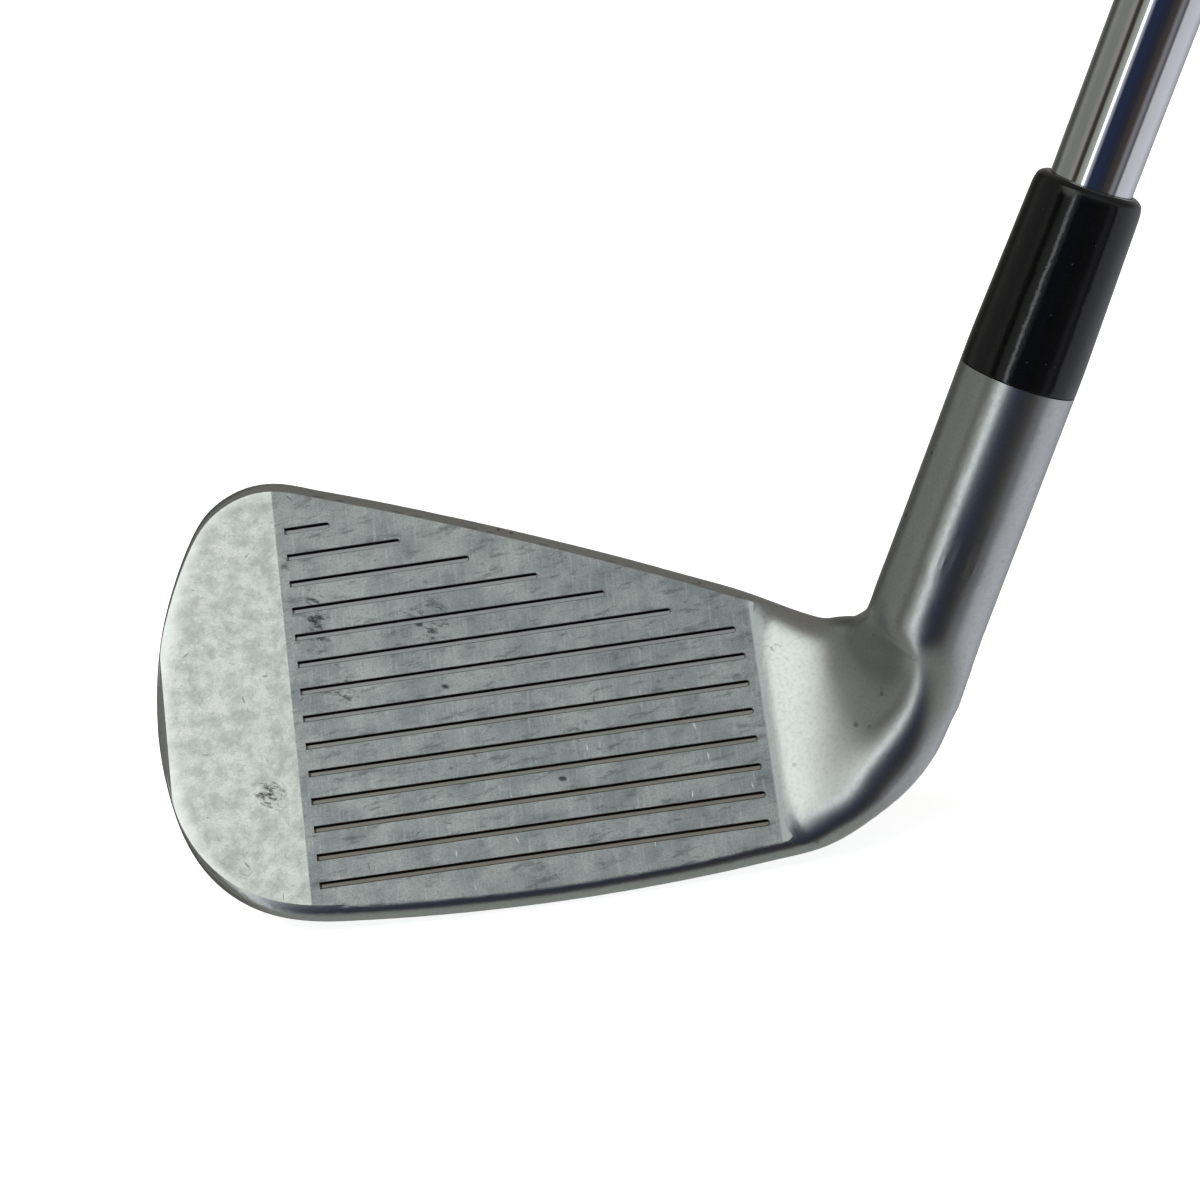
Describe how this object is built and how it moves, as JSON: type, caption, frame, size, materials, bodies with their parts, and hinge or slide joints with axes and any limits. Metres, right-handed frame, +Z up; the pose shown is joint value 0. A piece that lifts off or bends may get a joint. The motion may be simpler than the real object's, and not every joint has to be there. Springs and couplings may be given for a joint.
{
  "type": "golf iron",
  "caption": "Right-handed mid-iron golf club with a grooved cavity-back steel head, black ferrule, stepped steel shaft and rubber grip.",
  "frame": {"origin": "where the shaft's centre line meets the ground with the club held in the address position", "axes": "+Z up from the ground; +X from the toe towards the heel and shaft, level; -Y towards the target side, the way the face looks"},
  "size_m": [0.5156, 0.0443, 0.8421],
  "materials": {
    "head_steel": "satin plated, blasted hitting area, worn",
    "tungsten": "satin",
    "badge_film": "matte",
    "badge": "satin",
    "epoxy": "cured",
    "ferrule": "gloss",
    "shaft_chrome": "mirror chrome",
    "tip_brass": "turned",
    "band_film": "gloss",
    "tape": "matte",
    "grip_rubber": "matte moulded",
    "cap_rubber": "matte moulded"
  },
  "bodies": {
    "root": {"head_body": "head_steel", "toe_weight": "tungsten", "badge_tape": "badge_film", "cavity_badge": "badge", "hosel_epoxy": "epoxy", "ferrule": "ferrule", "shaft": "shaft_chrome", "tip_weight": "tip_brass", "shaft_band": "band_film", "grip_tape": "tape", "grip": "grip_rubber", "grip_cap": "cap_rubber"}
  },
  "joints": []
}
